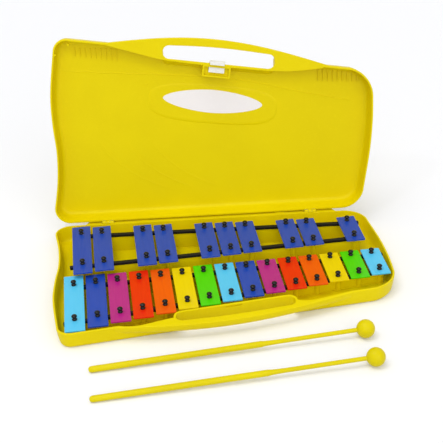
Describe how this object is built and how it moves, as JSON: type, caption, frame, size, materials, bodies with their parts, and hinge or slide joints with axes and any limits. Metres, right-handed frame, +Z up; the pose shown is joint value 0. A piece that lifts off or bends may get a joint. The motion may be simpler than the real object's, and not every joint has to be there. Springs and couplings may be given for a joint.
{
  "type": "xylophone",
  "caption": "Xylophone of painted metal bars in two rows, in a hinged plastic carry case with a handle slot and latch, with a pair of ball-headed mallets.",
  "frame": {"origin": "middle of the case's flat bottom, on the surface it stands on", "axes": "+X along the hinge towards the high notes, +Y towards the hinge, +Z up"},
  "size_m": [0.4311, 0.4073, 0.2747],
  "materials": {
    "case_plastic": "semi-gloss moulded",
    "hinge_steel": "plain",
    "latch_plastic": "moulded",
    "label_plastic": "bare",
    "bar_cyan": "painted",
    "bar_blue": "painted",
    "bar_magenta": "painted",
    "bar_red": "painted",
    "bar_orange": "painted",
    "bar_yellow": "painted",
    "bar_green": "painted",
    "bar_sharp_blue": "painted",
    "rail_rubber": "satin",
    "mallet_plastic": "moulded"
  },
  "bodies": {
    "case": {"case_base": "case_plastic", "hinge_pin_left": "hinge_steel", "hinge_pin_right": "hinge_steel", "bar_g5": "bar_cyan", "bar_a5": "bar_blue", "bar_b5": "bar_magenta", "bar_c6": "bar_red", "bar_d6": "bar_orange", "bar_e6": "bar_yellow", "bar_f6": "bar_green", "bar_g6": "bar_cyan", "bar_a6": "bar_blue", "bar_b6": "bar_magenta", "bar_c7": "bar_red", "bar_d7": "bar_orange", "bar_e7": "bar_yellow", "bar_f7": "bar_green", "bar_g7": "bar_cyan", "bar_g_sharp_5": "bar_sharp_blue", "bar_a_sharp_5": "bar_sharp_blue", "bar_c_sharp_6": "bar_sharp_blue", "bar_d_sharp_6": "bar_sharp_blue", "bar_f_sharp_6": "bar_sharp_blue", "bar_g_sharp_6": "bar_sharp_blue", "bar_a_sharp_6": "bar_sharp_blue", "bar_c_sharp_7": "bar_sharp_blue", "bar_d_sharp_7": "bar_sharp_blue", "bar_f_sharp_7": "bar_sharp_blue", "lower_back_rail": "rail_rubber", "lower_front_rail": "rail_rubber", "upper_back_rail": "rail_rubber", "upper_front_rail": "rail_rubber"},
    "lid": {"case_lid": "case_plastic", "label_plate": "label_plastic"},
    "latch": {"latch_slider": "latch_plastic"},
    "mallet_1": {"mallet_1_shaft": "mallet_plastic", "mallet_1_head": "mallet_plastic"},
    "mallet_2": {"mallet_2_shaft": "mallet_plastic", "mallet_2_head": "mallet_plastic"}
  },
  "joints": [
    {"name": "lid_hinge", "type": "hinge", "parent": "case", "child": "lid", "pos_m": [0, 0.1276, 0.022], "axis": [1, 0, 0], "range_deg": [0, 97]},
    {"name": "latch_slide", "type": "slide", "parent": "lid", "child": "latch", "axis": [0.1561, 0.1204, 0.9804], "range_m": [0, 0.0025], "stiffness_N_per_m": 150, "springref_m": -0.004},
    {"name": "mallet_1_lift", "type": "slide", "parent": "case", "child": "mallet_1", "axis": [0, 0, 1], "range_m": [0, 0.15]},
    {"name": "mallet_2_lift", "type": "slide", "parent": "case", "child": "mallet_2", "axis": [0, 0, 1], "range_m": [0, 0.15]}
  ]
}
